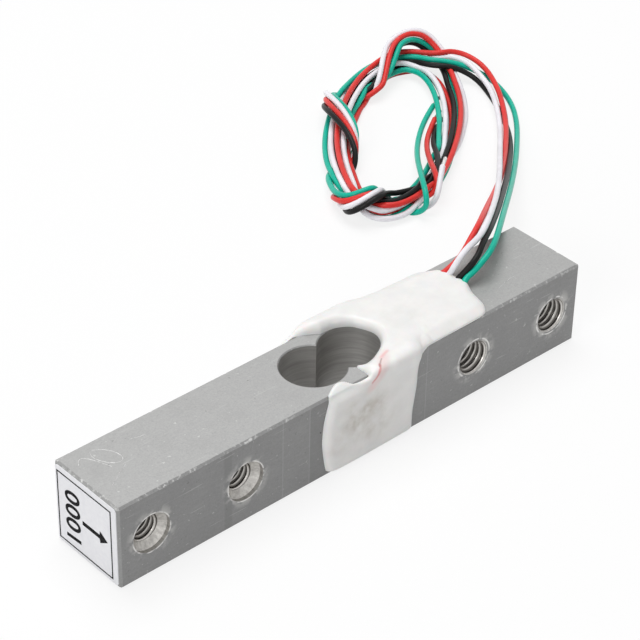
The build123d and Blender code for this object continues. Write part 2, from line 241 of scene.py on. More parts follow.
# %% Free stretches and tails: column, row, mm above the floor
EXIT_X, EXIT_HEIGHT = 23.4, 13.4
EXIT_ROW = {"red": 3.57, "white": 2.33, "black": 1.08, "green": -0.17}
FREE_STRETCH = {
    "red": [
        (443, 273.3, 13.5), (449, 268.6, 14.0), (460, 258, 14.6), (466.5, 246.8, 15.2),
        (470.4, 239, 15.8), (476, 229.5, 16.6), (481, 219.5, 16.3), (486.5, 210, 14.6),
        (491.5, 201, 12.4), (495.5, 191, 9.6), (501, 176, 6.2), (505, 160, 3.4), (506.8, 142, 1.8),
        (506.3, 124, 1.5), (504, 108, 1.5), (498.6, 87, 1.7), (485.5, 65.5, 2.3), (468, 54, 3.1),
        (452, 50, 3.6)],
    "white": [
        (449.2, 275, 13.5), (454.4, 266.5, 15.2), (460.6, 256, 16.5), (467.4, 247.5, 17.0),
        (475, 241, 17.1), (481, 235, 17.1), (485.5, 227, 17.0), (489, 218, 16.2), (492.7, 206.5, 14.0),
        (495.7, 195, 11.4), (498.6, 182, 8.6), (500.8, 168, 5.6), (501.6, 152, 3.0), (501, 135, 1.6),
        (499.5, 119, 1.4), (496, 102, 1.5), (490.5, 87, 1.8), (481, 75, 2.2), (467, 63, 2.6),
        (452, 56, 3.0)],
    "black": [
        (456.7, 280.6, 13.4), (466, 270.6, 14.6), (473.6, 262.6, 15.6), (479, 253.5, 16.2),
        (481.8, 245, 16.4), (485, 236.6, 16.4), (489.2, 229, 16.2), (493.8, 219.5, 14.8),
        (498, 209, 13.0), (501.5, 199, 11.0), (505.5, 189, 9.0), (509, 177, 6.6), (511, 163, 4.0),
        (511.2, 148, 1.8), (509.5, 133, 0.6), (502, 114, 0.47), (491, 95, 0.47), (477, 77.5, 0.9),
        (460, 69, 2.2), (446, 66, 3.0)],
    "green": [
        (463, 285, 13.4), (466.5, 277.5, 13.9), (473.6, 270, 14.6), (481.2, 262.4, 15.4),
        (489, 253.5, 16.0), (494.3, 244, 16.2), (498.2, 232, 15.8), (502, 218.5, 14.2),
        (505.2, 205, 11.8), (508.5, 191, 8.8), (512, 175, 5.6), (515, 158, 3.0), (517, 140, 1.2),
        (517.5, 124, 0.47), (514, 107, 0.47), (505, 92, 0.5), (491, 78, 0.9), (474, 67.5, 1.8),
        (456, 62.5, 2.9)],
}
TAILS = {
    "red": [
        (424, 197, 1.2), (431, 193.5, 1.6), (436, 186, 2.6), (437.2, 178, 3.6), (434.5, 170, 3.6),
        (429.5, 160, 2.6), (425.5, 146, 0.9), (428.5, 132, 0.5), (435, 119, 0.46)],
    "white": [
        (411, 208.5, 0.8), (420, 208.5, 1.0), (430, 206.5, 1.4), (436.5, 199, 2.4), (439, 188, 3.8),
        (440.5, 177, 4.6), (442.6, 166, 5.0)],
    "black": [
        (428, 186, 2.4), (434, 179, 2.6), (438.5, 168, 2.6), (438.5, 155, 2.2), (433.5, 143.5, 0.9),
        (433, 134, 0.5), (437.5, 126, 0.46)],
    "green": [
        (406, 210, 0.5), (413, 212, 0.6), (421, 211.5, 1.0), (427, 206.5, 2.4), (427, 199, 4.0),
        (424.5, 186, 5.0), (420.5, 172, 4.6), (417, 159, 2.6), (416.5, 146, 0.9), (420, 130, 0.46),
        (427, 115, 0.46), (433.5, 105.5, 0.46)],
}

# %% Lanes: degrees travelled round the ring, mm outwards from the bundle's middle, mm above the floor
RING_CENTRE, RING_TURN = np.array([56.7, 48.1]), np.radians(39.9)
RING_HALF_LENGTH, RING_HALF_WIDTH = 22.85, 9.0
LANES = {
    "red": [
        (-24, 1.5, 3.8), (0, 1.2, 3.7), (45, 0.4, 3.5), (90, 0.2, 3.3), (140, 0.1, 3.3),
        (200, -0.2, 1.8), (270, 0.15, 0.5), (330, 0.3, 1.2), (405, -1.2, 1.2), (450, -1.7, 1.4),
        (500, -1.8, 1.6), (560, 0.6, 3.1), (590, 0.6, 2.8), (620, 1.0, 2.3), (680, 2.0, 2.0)],
    "white": [
        (-24, 0.8, 3.2), (0, 1.3, 2.7), (45, 2.2, 1.8), (90, 1.2, 2.6), (140, 1.0, 3.0), (200, 0.0, 2.4),
        (270, -1.0, 1.8), (330, -0.9, 2.4), (405, -0.6, 3.0), (450, -0.8, 3.0), (500, -0.8, 3.0),
        (540, 1.9, 1.7), (560, 1.5, 1.4), (584, 0.5, 1.4), (618, 0.5, 1.4), (637, 1.6, 1.0),
        (655, 2.6, 0.9), (680, 2.9, 1.8)],
    "black": [
        (-24, -1.2, 3.3), (0, -0.5, 2.4), (45, 0.0, 2.4), (90, 0.7, 1.5), (140, 0.7, 1.5),
        (200, -0.8, 2.6), (270, -0.85, 0.6), (330, -0.3, 1.4), (405, -0.2, 1.7), (450, -0.1, 2.2),
        (500, -0.1, 2.2), (560, -0.1, 3.0), (630, 0.1, 2.4), (680, 1.0, 0.8)],
    "green": [
        (-24, -0.3, 3.6), (0, 0.3, 3.2), (45, 1.6, 2.8), (90, 2.1, 1.8), (132, 2.0, 2.0),
        (180, -1.6, 2.2), (270, -2.1, 1.3), (330, -1.9, 2.0), (405, -1.9, 2.0), (450, -1.0, 1.2),
        (500, -0.7, 1.0), (560, 0.3, 0.9), (630, 0.2, 0.5), (680, 1.4, 0.8)],
}
UNDER_SKIN_X = (19.6, 22.0)
LANE_START, LANE_END, SPIRAL_START = -24.0, 684.0, 688.0
STEP = 6.0
DENT_AT, DENT_WIDTH, DENT_DEPTH = 136.0, 38.0, 1.0

# %% [markdown]
# The spiral is a list too: degrees travelled, degrees circled round the bundle, and its half sizes to
# the side and upwards. The wires follow one another in it, and change their order between crossings.
# At the first crossing they stand well clear of the bundle, so each has a lift there.

# %% Spiral
SPIRAL = [
    (684, -20, 2.8, 1.2), (700, 15, 3.0, 2.0), (714, 48, 4.0, 4.2), (724, 70, 3.7, 3.8),
    (741, 102, 3.2, 3.0), (756, 138, 3.0, 2.4), (768, 172, 3.0, 2.0), (775, 206, 3.0, 2.0),
    (782, 270, 3.0, 2.2), (790, 360, 3.9, 2.0), (808, 450, 3.2, 2.2), (828, 540, 3.2, 2.0),
    (838, 630, 3.0, 2.2), (846, 655, 2.4, 2.0), (864, 688, 2.7, 1.9), (880, 722, 3.2, 2.0),
    (889, 766, 3.3, 2.4), (897, 810, 3.2, 2.6), (905, 852, 3.2, 2.3), (915, 900, 3.1, 2.0),
    (928, 990, 2.8, 2.0), (942, 1080, 2.8, 2.0)]
SPIRAL_HEIGHT, SPIRAL_SPREAD = 2.6, 22.0
SPIRAL_ORDER = {
    "green": [
        (684, 2.0), (705, 1.2), (722, 0.0), (742, -1.0), (770, -1.3), (785, -1.4), (808, -1.5)],
    "white": [
        (684, 0.2), (714, 0.3), (740, 1.2), (755, 1.0), (785, -1.1), (808, -0.6), (840, -0.5), (880, 0.5)],
    "red": [
        (684, -0.2), (714, 0.0), (740, 0.2), (760, 0.0), (790, 0.3), (808, 0.5), (840, 0.5), (880, -0.5)],
    "black": [
        (684, 1.8), (714, 1.0), (740, 0.2), (760, -0.6), (776, -0.2), (790, 0.8), (808, 1.5)],
}
SPIRAL_LIFT = {"green": [(-0.5, 714, 18), (-0.3, 790, 12)], "white": [(1.2, 714, 18), (0.8, 791, 12)],
               "red": [(0.35, 714, 18)], "black": [(-1.1, 738, 38)]}
SPIRAL_END = {"green": 926, "white": 928, "red": 930, "black": 926}


# %% The rule that carries a lane round the ring
def ring_points(degrees, outward, height):
    """Points beside an oval, dented on one side: its centreline plus a distance along its outward normal."""
    t = np.radians(degrees)
    from_dent = (np.asarray(degrees) - DENT_AT + 180) % 360 - 180
    outward = np.asarray(outward) - DENT_DEPTH * np.exp(-(from_dent / DENT_WIDTH) ** 2)
    along = np.array([np.cos(RING_TURN), np.sin(RING_TURN)])
    across = np.array([-np.sin(RING_TURN), np.cos(RING_TURN)])
    normal = np.outer(RING_HALF_WIDTH * np.cos(t), along) + np.outer(RING_HALF_LENGTH * np.sin(t), across)
    normal /= np.linalg.norm(normal, axis=1)[:, None]
    middle = RING_CENTRE + np.outer(RING_HALF_LENGTH * np.cos(t), along)
    middle = middle + np.outer(RING_HALF_WIDTH * np.sin(t), across)
    return np.column_stack([middle + normal * np.asarray(outward)[:, None], height])


def turns(colour):
    """Two turns along a lane, eased between its places, then a spiral round the bundle."""
    places = np.array(LANES[colour], float)
    degrees = np.arange(LANE_START, LANE_END, STEP)
    i = np.clip(np.searchsorted(places[:, 0], degrees, side="right") - 1, 0, len(places) - 2)
    u = (degrees - places[i, 0]) / (places[i + 1, 0] - places[i, 0])
    u = (u * u * (3 - 2 * u))[:, None]
    eased = places[i, 1:] * (1 - u) + places[i + 1, 1:] * u
    lane = ring_points(degrees, eased[:, 0], eased[:, 1])
    degrees = np.arange(SPIRAL_START, SPIRAL_END[colour], STEP * 0.75)
    place = np.interp(degrees, *np.array(SPIRAL_ORDER[colour]).T)
    travelled, circled, side, rise = np.array(SPIRAL, float).T
    angle = np.radians(np.interp(degrees, travelled, circled) - place * SPIRAL_SPREAD)
    side, rise = np.interp(degrees, travelled, side), np.interp(degrees, travelled, rise)
    lift = sum(most * np.exp(-((degrees - at) / width) ** 2) for most, at, width in SPIRAL_LIFT[colour])
    height = SPIRAL_HEIGHT + (rise + lift) * np.sin(angle)
    return lane, ring_points(degrees, (side + lift) * np.cos(angle), height)


def lead_line(colour):
    """The whole line of a lead, and how firmly each point keeps its place."""
    start = [(x, EXIT_ROW[colour], EXIT_HEIGHT) for x in UNDER_SKIN_X]
    lane, spiral = turns(colour)
    parts = [start, seen_at(FREE_STRETCH[colour]), lane, spiral, seen_at(TAILS[colour])]
    grips = (FREE_GRIP, FREE_GRIP, RING_GRIP, SPIRAL_GRIP, FREE_GRIP)
    grip = [np.full(len(part), firmness) for part, firmness in zip(parts, grips)]
    return np.vstack(parts), np.concatenate(grip)


# %% [markdown]
# The listed lanes run into each other by fractions of a millimetre. Moving them by hand would take a
# day, and a physics engine is more than four short wires need. A hundred rounds of a simple rule do it:
# each point is pulled to its place, smoothed a little, let down by gravity, and pushed away from every
# stretch of wire that is nearer than one thickness. The last rounds pull less, so the wires settle.
# Sideways pushes can't part two wires that cross at one height, so those are pushed up and down. In the
# tightest places some overlap is left.

# %% Push the wires apart
ROUNDS, SMOOTH, FALL, SPACING = 100, 0.2, 0.015, 0.91
FREE_GRIP, RING_GRIP, SPIRAL_GRIP = 0.85, 0.07, 0.2
FULL_ROUNDS, LATE_EASE = 70, 0.3
KEPT_POINTS, OWN_NEIGHBOURS, OUT_OF_REACH = 4, 4, 9.0
CROSSED, NEARLY_LEVEL, LIFT_OVER = 0.45, 0.2, 0.4


def nearest_on_stretches(points, owners, order):
    """For every point and every stretch between neighbours: the shortest way from stretch to point,
    led up or down where two wires cross at nearly one height."""
    joined = owners[:-1] == owners[1:]
    first = np.flatnonzero(joined)
    start, run = points[first], points[first + 1] - points[first]
    away = points[:, None] - start[None]
    share = np.clip((away * run).sum(2) / (run * run).sum(1), 0, 1)
    way = away - share[..., None] * run
    gap = np.linalg.norm(way, axis=2)
    same = owners[:, None] == owners[first][None]
    beside = np.abs(order[:, None] - order[first][None] - 0.5) < OWN_NEIGHBOURS
    gap[same & beside] = OUT_OF_REACH
    rank = owners * len(points) + order
    later = np.where(rank[:, None] > rank[first][None], 1.0, -1.0)
    above = np.where(np.abs(way[..., 2]) > NEARLY_LEVEL, np.sign(way[..., 2]), later)
    way[..., 2] += np.where(gap < CROSSED, above * LIFT_OVER, 0.0)
    return first, share, way, gap


def push_apart(lines):
    """Moves the points of all lines apart where wires overlap; exits stay where they are."""
    names = list(lines)
    wanted = [lines[name][0] for name in names]
    grips = [lines[name][1][:, None] for name in names]
    placed = [line.copy() for line in wanted]
    owners = np.concatenate([np.full(len(line), i) for i, line in enumerate(placed)])
    order = np.concatenate([np.arange(len(line)) for line in placed])
    ends = np.cumsum([len(line) for line in placed])[:-1]
    for turn in range(ROUNDS):
        ease = 1.0 if turn < FULL_ROUNDS else LATE_EASE
        for line, goal, grip in zip(placed, wanted, grips):
            line += ease * grip * (goal - line)
            line[1:-1] += ease * SMOOTH * (0.5 * (line[:-2] + line[2:]) - line[1:-1])
            line[:, 2] -= FALL
            line[:KEPT_POINTS] = goal[:KEPT_POINTS]
        points = np.vstack(placed)
        first, share, way, gap = nearest_on_stretches(points, owners, order)
        touch = gap < SPACING
        size = np.where(touch, (SPACING - gap) / np.maximum(np.linalg.norm(way, axis=2), 1e-6), 0)
        moves = 0.5 * (size[..., None] * way).sum(1) / np.maximum(1, touch.sum(1))[:, None]
        i, j = np.nonzero(touch)
        push = -0.5 * size[i, j, None] * way[i, j]
        others = np.zeros_like(points)
        count = np.zeros(len(points))
        for shift, part in ((0, 1 - share[i, j]), (1, share[i, j])):
            np.add.at(others, first[j] + shift, push * part[:, None])
            np.add.at(count, first[j] + shift, 1)
        points = points + moves + others / np.maximum(1, count)[:, None]
        points[:, 2] = np.maximum(points[:, 2], LEAD_D / 2 + 0.01)
        placed = [part.copy() for part in np.split(points, ends)]
        for line, goal in zip(placed, wanted):
            line[:KEPT_POINTS] = goal[:KEPT_POINTS]
    print("closest wires after pushing", round(float(gap.min()), 2), "mm")
    return dict(zip(names, placed))


lines = push_apart({colour: lead_line(colour) for colour in FREE_STRETCH})
for colour, points in lines.items():
    print(colour, "lead has", len(points), "points")


# %% [markdown]
# Each line becomes a smooth curve with a round section. A NURBS curve of the third order passes near its
# points without corners, and its bevel gives the plastic its thickness.

# %% Leads as curves
def lead_curve(colour, points):
    data = bpy.data.curves.new(colour + "_lead_wire", "CURVE")
    data.dimensions = "3D"
    spline = data.splines.new("NURBS")
    spline.points.add(len(points) - 1)
    spline.points.foreach_set("co", np.column_stack([points * MM, np.ones(len(points))]).ravel())
    spline.order_u = 3
    spline.use_endpoint_u = True
    data.resolution_u = 4
    piece = add_object(colour + "_lead_wire", data)
    bpy.context.view_layer.update()
    bare = bpy.data.meshes.new_from_object(piece)
    path = np.array([v.co for v in bare.vertices])
    bpy.data.meshes.remove(bare)
    data.bevel_depth = LEAD_D / 2 * MM
    data.bevel_resolution = 5
    data.use_fill_caps = True
    length = float(np.linalg.norm(np.diff(path, axis=0), axis=1).sum())
    print(colour, "lead is", round(length, 3), "m long")
    return piece, length


leads, lengths = {}, {}
for colour, points in lines.items():
    leads[colour], lengths[colour] = lead_curve(colour, points)

# %% [markdown]
# The plastic of such leads is semi-gloss with a faint unevenness of colour. The white has a cool tinge.
# A little subsurface light would soften it, but at this size it only adds noise, so it is left out.

# %% Insulation
INSULATION = {"red": (0.66, 0.035, 0.03), "white": (0.78, 0.77, 0.81), "black": (0.012, 0.012, 0.012),
              "green": (0.004, 0.42, 0.30)}
insulation = {}
for colour, base in INSULATION.items():
    finish = Finish("insulation_" + colour, base, 0.3, Specular_IOR_Level=0.1 if colour == "black" else 0.2)
    paler = tuple(min(1.0, c * 1.14 + 0.003) for c in base)
    finish.two_tone(finish.noise(260.0, 2.0), 0.3, 0.7, base, paler)
    finish.bump(finish.noise(1500.0, 2.0), 0.12, 0.0001)
    insulation[colour] = finish
    wear(leads[colour], finish)

# %% [markdown]
# ## The bare tips
# Each lead ends in a few millimetres of stripped, tinned strands. A plain rod would do from afar, but
# the strands are twisted, so the tip is a rod whose radius has seven shallow lobes that turn along it.

# %% Tinned tips
TIP_ENDS = {"red": (440.5, 110.5, 0.3), "white": (445.6, 157.5, 5.2), "black": (443.5, 117.5, 0.3),
            "green": (439.5, 97, 0.3)}
TIPS = {colour: (lines[colour][-1], seen_at([end])[0]) for colour, end in TIP_ENDS.items()}
TIP_RADIUS, TIP_LOBES, TIP_TWIST = 0.26, 7, 1.2
TIP_RINGS, TIP_SIDES = 25, 35


def tip(colour, start, end):
    """A rod from start to end: radius times one plus a small cosine of the turned angle, closed by caps."""
    start, end = np.array(start), np.array(end)
    axis = (end - start) / np.linalg.norm(end - start)
    side = np.cross(axis, [0, 0, 1.0])
    side /= np.linalg.norm(side)
    over = np.cross(side, axis)
    round_it = np.arange(TIP_SIDES) * 2 * np.pi / TIP_SIDES
    s, a = np.meshgrid(np.linspace(0, 1, TIP_RINGS), round_it, indexing="ij")
    r = TIP_RADIUS * (1 + 0.12 * np.cos(TIP_LOBES * (a + TIP_TWIST * s)))
    r = r * np.sqrt(np.clip(1 - np.clip((s - 0.93) / 0.08, 0, 1) ** 2, 0.02, 1))
    points = start + s[..., None] * (end - start) + r[..., None] * (
        np.cos(a)[..., None] * over + np.sin(a)[..., None] * side)
    points = points.reshape(-1, 3)
    faces = grid_faces(TIP_RINGS, TIP_SIDES, close_columns=True).tolist()
    faces.append(list(range(TIP_SIDES)))
    faces.append(list(range((TIP_RINGS - 1) * TIP_SIDES, TIP_RINGS * TIP_SIDES))[::-1])
    return add_mesh(colour + "_tip", points, [face[::-1] for face in faces])


tinned = Finish("tinned_strands", (0.62, 0.61, 0.60), 0.35, 1.0)
tinned.bump(tinned.noise(3000.0), 0.2, 0.0001)
tips = {}
for colour, (start, end) in TIPS.items():
    tips[colour] = finished(tip(colour, start, end), "solder", colour + "_tinned_end")
    wear(tips[colour], tinned)
print("tips", list(tips))

for colour, piece in leads.items():
    finished(piece, "insulation_" + colour, colour + "_lead", "wire_coil")
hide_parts("green_lead_tail")

# %% [markdown]
# ## The aluminium bar
# The real bar is milled from square stock. Its top is dull with a fine grain and painted lighter, as lit
# from above; its front is painted darker, as shade, and shows faint bands where the cutter stepped over, and
# handling left small scratches and bright nicks along the edges. The CAD mesh has the right shape and
# stays. Its finish reads object
# coordinates, so the grain can be long in one direction, and asks the surface's normal which face it is.

# %% Masks by place on the bar
HALF_SIDE, BAR_HEIGHT, BAR_HALF_LENGTH = 6.35, 12.7, 40.0
OUTER_HOLE, INNER_HOLE = 35.0, 20.0


class Places:
    """Distances on the bar as node outputs in mm, from object coordinates and the surface's normal."""

    def __init__(self, finish):
        self.finish = finish
        in_mm = {0: finish.coords, 1: (1 / MM, 1 / MM, 1 / MM)}
        scaled = finish.node("ShaderNodeVectorMath", in_mm, operation="MULTIPLY")
        split = finish.node("ShaderNodeSeparateXYZ", {0: scaled.outputs[0]})
        self.x, self.y, self.z = (split.outputs[axis] for axis in "XYZ")
        self.far_x, self.far_y = finish.math("ABSOLUTE", self.x), finish.math("ABSOLUTE", self.y)
        normal = finish.node("ShaderNodeNewGeometry").outputs["Normal"]
        facing = finish.node("ShaderNodeSeparateXYZ", {0: normal})
        self.faces_side = finish.math("ABSOLUTE", facing.outputs["Y"])
        self.faces_up = finish.math("ABSOLUTE", facing.outputs["Z"])

    def gap(self, value, centre):
        """Distance of a value from a centre."""
        return self.finish.math("ABSOLUTE", self.finish.math("SUBTRACT", value, centre))

    def within(self, value, limit, soft):
        """One where a value is under the limit, falling to nought over a soft step."""
        return self.finish.remap(value, limit - soft, limit, 1.0, 0.0)

    def both(self, a, b):
        return self.finish.math("MULTIPLY", a, b)

    def radius(self, a, b):
        """Length of the two distances together, as from a hole's axis or from an edge."""
        f = self.finish
        return f.math("SQRT", f.math("ADD", f.math("MULTIPLY", a, a), f.math("MULTIPLY", b, b)))


# %% Aluminium finish
CUTTER_BANDS = ((-22.9, 0.75, 0.25, 0.35, (0.17, 0.17, 0.17)), (-7.7, 1.7, 0.15, 0.3, (0.16, 0.16, 0.16)),
                (-13.9, 0.12, 0.08, 0.3, (0.40, 0.40, 0.40)), (-9.4, 0.12, 0.08, 0.3, (0.40, 0.40, 0.40)),
                (11.2, 0.12, 0.08, 0.3, (0.40, 0.40, 0.40)))
SPECK_X, SPECK_Z = -7.56, 7.7
SCRATCH_GRAIN = (170.0, 2600.0, 2600.0)


def aluminium_finish(name):
    """Matt milled faces with a painted lighter top and a painted darker front for shade, paler bores,
    painted highlights round the hole rims, chipped edges and a few scratches, all placed by the masks above.
    """
    metal = Finish(name, (0.40, 0.40, 0.40), 0.5, 0.5)
    at = Places(metal)
    grain = metal.noise(4200.0, 3.0, 0.7)
    brushed = metal.noise(1.0, 5.0, 0.65, metal.stretched((420.0, 1900.0, 1900.0)))
    cloud = metal.noise(190.0, 4.0)
    specks = metal.noise(1500.0, 2.0)
    # Painted light and shade: the top's tones are lighter, as lit from above, and the front's darker, as in
    # shade.
    top = metal.mix(metal.remap(grain, 0.25, 0.75), (0.285, 0.285, 0.283), (0.36, 0.36, 0.355))
    top = metal.mix(metal.remap(brushed, 0.5, 0.8, 0.0, 0.3), top, (0.39, 0.39, 0.385))
    front = metal.mix(metal.remap(grain, 0.25, 0.75), (0.225, 0.225, 0.225), (0.275, 0.275, 0.273))
    front = metal.mix(metal.remap(brushed, 0.5, 0.8, 0.0, 0.4), front, (0.33, 0.33, 0.328))
    for middle, half, soft, strength, colour in CUTTER_BANDS:
        front = metal.paint(at.within(at.gap(at.x, middle), half, soft), strength, front, colour)
    # Painted light and shade: faces looking sideways take the darker front tones, faces looking up the
    # lighter top tones.
    shade = metal.mix(metal.remap(at.faces_side, 0.4, 0.9), top, front)
    shade = metal.mix(metal.remap(cloud, 0.55, 0.75, 0.0, 0.3), shade, (0.29, 0.29, 0.285))
    for turned, often in ((0.9, 0.745), (-0.7, 0.755)):
        slanted = {"Vector": metal.coords, "Rotation": (turned, turned, turned), "Scale": SCRATCH_GRAIN}
        lines = metal.node("ShaderNodeMapping", slanted).outputs["Vector"]
        lines = metal.remap(metal.noise(1.0, 1.0, 0.4, lines), often, often + 0.03, 0.0, 0.3)
        shade = metal.mix(lines, shade, (0.50, 0.50, 0.495))
    shade = metal.mix(metal.remap(specks, 0.69, 0.76, 0.0, 0.5), shade, (0.60, 0.60, 0.59))
    shade = metal.mix(metal.remap(specks, 0.31, 0.24, 0.0, 0.5), shade, (0.14, 0.14, 0.137))

    hole_x = metal.math("MINIMUM", at.gap(at.far_x, OUTER_HOLE), at.gap(at.far_x, INNER_HOLE))
    hole = at.radius(hole_x, at.gap(at.z, HALF_SIDE))
    # Painted highlights: irregular light smears round each hole's mouth on the side faces, and a broken
    # bright ring on its rim.
    rim_highlight_smear = at.both(at.within(hole, 4.1, 1.2), metal.remap(metal.noise(700.0, 3.0), 0.46, 0.6))
    shade = metal.paint(at.both(rim_highlight_smear, at.faces_side), 0.75, shade, (0.52, 0.51, 0.495))
    rim = at.both(at.within(at.gap(hole, 2.9), 0.16, 0.1), metal.remap(metal.noise(900.0), 0.42, 0.55))
    shade = metal.paint(rim, 0.85, shade, (0.80, 0.79, 0.77))
    inside_face = at.within(at.far_y, 6.32, 0.03)
    turned_wall = at.both(at.within(hole, 2.95, 0.05), inside_face)
    along_wall = metal.noise(1.0, 3.0, 0.6, metal.stretched((2400.0, 300.0, 2400.0)))
    wall_shade = metal.mix(metal.remap(along_wall, 0.3, 0.7), (0.40, 0.385, 0.365), (0.66, 0.645, 0.615))
    shade = metal.mix(turned_wall, shade, wall_shade)

    reamed = metal.noise(1.0, 4.0, 0.7, metal.stretched((110.0, 110.0, 2400.0)))
    wall = metal.mix(metal.remap(reamed, 0.3, 0.7), (0.29, 0.283, 0.27), (0.45, 0.44, 0.425))
    in_bores = at.both(at.within(at.far_x, 11.5, 0.05), at.within(at.faces_up, 0.5, 0.1))
    in_bores = at.both(in_bores, at.within(at.far_y, 5.9, 0.02))
    shade = metal.mix(in_bores, shade, wall)

    from_top = at.gap(at.z, BAR_HEIGHT)
    long_edge = at.radius(at.gap(at.far_y, HALF_SIDE), from_top)
    end_edge = at.radius(at.gap(at.far_x, BAR_HALF_LENGTH), from_top)
    edge = metal.math("MINIMUM", long_edge, end_edge)
    chipped = metal.noise(1500.0, 3.0, 0.6)
    worn = at.both(at.within(edge, 0.42, 0.26), metal.remap(at.far_x, 11.0, 13.0))
    worn = at.both(worn, metal.remap(metal.noise(230.0, 1.0), 0.4, 0.6, 0.45, 1.0))
    chips = at.both(worn, metal.remap(chipped, 0.55, 0.62))
    shade = metal.paint(chips, 0.8, shade, (0.78, 0.78, 0.77))
    dents = at.both(worn, metal.remap(chipped, 0.40, 0.34))
    shade = metal.paint(dents, 0.6, shade, (0.12, 0.12, 0.118))
    speck = at.radius(at.gap(at.x, SPECK_X), at.gap(at.z, SPECK_Z))
    speck = at.both(at.within(speck, 0.14, 0.06), at.faces_side)
    shade = metal.mix(speck, shade, (0.05, 0.05, 0.05))
    metal.join(shade, "Base Color")
    metal.join(metal.remap(cloud, 0.3, 0.7, 0.42, 0.56), "Roughness")
    metal.join(metal.remap(turned_wall, 0.0, 1.0, 0.5, 0.8), "Metallic")
    metal.bump(grain, 0.25, 0.00004)
    metal.bump(chips, 0.4, 0.0001)
    metal.bump(metal.math("MULTIPLY", in_bores, reamed), 0.3, 0.00006)
    return metal


aluminium = aluminium_finish("milled_aluminium")
wear(nodes["beam"], aluminium)
print("bar finish has", len(aluminium.tree.nodes), "nodes")

# %% [markdown]
# ## Scribed digits and scratches
# Somebody scratched a number into the top with a point, and the bar has a few long scratches from
# handling. A scratch throws up a bright burr, so each is a low ridge carried along a listed path.

# %% Ridges along paths on the top face
def ridge(name, path, width=0.13, height=0.03):
    """A three-sided ridge: left foot, crest and right foot beside each point of a smoothed open path."""
    path = cut_corners(np.array(path, float), 3, closed=False)
    run = np.gradient(path, axis=0)
    side = np.stack([-run[:, 1], run[:, 0]], axis=1) / np.linalg.norm(run, axis=1)[:, None]
    taper = np.minimum(1.0, 0.15 + np.linspace(0, 6, len(path)) * np.linspace(6, 0, len(path)))[:, None]
    left, right = path + side * width / 2 * taper, path - side * width / 2 * taper
    rings = [np.column_stack([edge, np.full(len(path), BAR_HEIGHT - 0.02)]) for edge in (left, right)]
    crest = np.column_stack([path, BAR_HEIGHT + height * taper[:, 0]])
    points = np.stack([rings[0], crest, rings[1]], axis=1).reshape(-1, 3)
    faces = grid_faces(len(path), 3, close_columns=True).tolist()
    last = 3 * (len(path) - 1)
    faces += [[0, 1, 2], [last + 2, last + 1, last]]
    return finished(add_mesh(name, points, [face[::-1] for face in faces], smooth=False), "bar")


SCRIBED = {
    "digit_one": [
        (-38.5, 3.3), (-37.7, 4.4), (-36.9, 3.9), (-36.1, 2.2), (-35.5, 0.6)],
    "digit_nought": [
        (-35.9, 4.5), (-36.3, 3.5), (-35.6, 1.6), (-34.2, 0.5), (-33.3, 1.0), (-33.4, 2.6), (-34.4, 4.1),
        (-35.5, 4.7)],
    "long_scratch": [
        (-33.7, 0.05), (-35.6, -1.1), (-37.7, -2.3)],
    "short_scratch": [
        (-30.6, 3.4), (-29.4, 3.0), (-28.5, 2.9)],
    "far_scratch": [
        (27.4, -3.2), (29.6, -2.6), (31.0, -2.5)],
}
burr = Finish("bright_burr", (0.62, 0.62, 0.61), 0.4, 0.4)
burr.two_tone(burr.noise(2200.0), 0.35, 0.65, (0.42, 0.42, 0.415), (0.78, 0.78, 0.77))
for name, path in SCRIBED.items():
    wear(ridge("scribed_" + name, path, 0.09 if "scratch" in name else 0.15), burr)
print("scribed", list(SCRIBED))

# %% [markdown]
# ## Screw threads
# The CAD bores have the nominal thread diameter. A tap leaves V-shaped ridges that stand inwards from
# that wall and climb like a spiral stair. A bump pattern would look flat at this size, so each thread
# is a real sleeve: its inner wall is a radius that rises and falls with the distance along the hole
# less the share of a turn already made, and its outer wall lies on the bore.

# %% Thread sleeves
SMALL_THREAD = {"radius": 2.0, "pitch": 0.7, "start": -4.85, "end": 6.15}
LARGE_THREAD = {"radius": 2.5, "pitch": 0.8, "start": -6.15, "end": 6.15}
THREADS = {"thread_near_outer": (-35.0, SMALL_THREAD), "thread_near_inner": (-20.0, SMALL_THREAD),
           "thread_far_inner": (20.0, LARGE_THREAD), "thread_far_outer": (35.0, LARGE_THREAD)}
THREAD_DEPTH_SHARE = 0.54
SAMPLES_PER_PITCH, SAMPLES_ROUND = 8, 64


def thread_sleeve(name, x, radius, pitch, start, end):
    """Inner wall radius: bore radius less the depth times a flattened triangle wave of the helix."""
    steps = int((end - start) / pitch * SAMPLES_PER_PITCH)
    y, a = np.meshgrid(np.linspace(start, end, steps), np.arange(SAMPLES_ROUND) * 2 * np.pi / SAMPLES_ROUND,
                       indexing="ij")
    phase = (y / pitch - a / (2 * np.pi)) % 1.0
    ridge = np.clip(1.15 - np.abs(phase - 0.5) * 2.6, 0.0, 1.0)
    fade = np.clip((y - start) / (0.6 * pitch), 0, 1) * np.clip((end - y) / (0.6 * pitch), 0, 1)
    inner = radius - 0.03 - THREAD_DEPTH_SHARE * pitch * ridge * fade
    outer = np.full_like(inner, radius + 0.002)
    r = np.vstack([inner, outer[::-1]])
    y, a = np.vstack([y, y[::-1]]), np.vstack([a, a])
    points = np.stack([x + r * np.cos(a), y, HALF_SIDE + r * np.sin(a)], axis=-1).reshape(-1, 3)
    faces = grid_faces(2 * steps, SAMPLES_ROUND, close_rows=True, close_columns=True)
    sleeve = finished(add_mesh(name, points, faces[:, ::-1]), "bar")
    crest = sleeve.data.attributes.new("crest", "FLOAT", "POINT")
    crest.data.foreach_set("value", np.vstack([ridge, ridge * 0]).ravel().astype(np.float32))
    return sleeve


tapped = Finish("tapped_thread", (0.46, 0.45, 0.44), 0.28, 0.9)
crest = tapped.node("ShaderNodeAttribute", attribute_name="crest").outputs["Fac"]
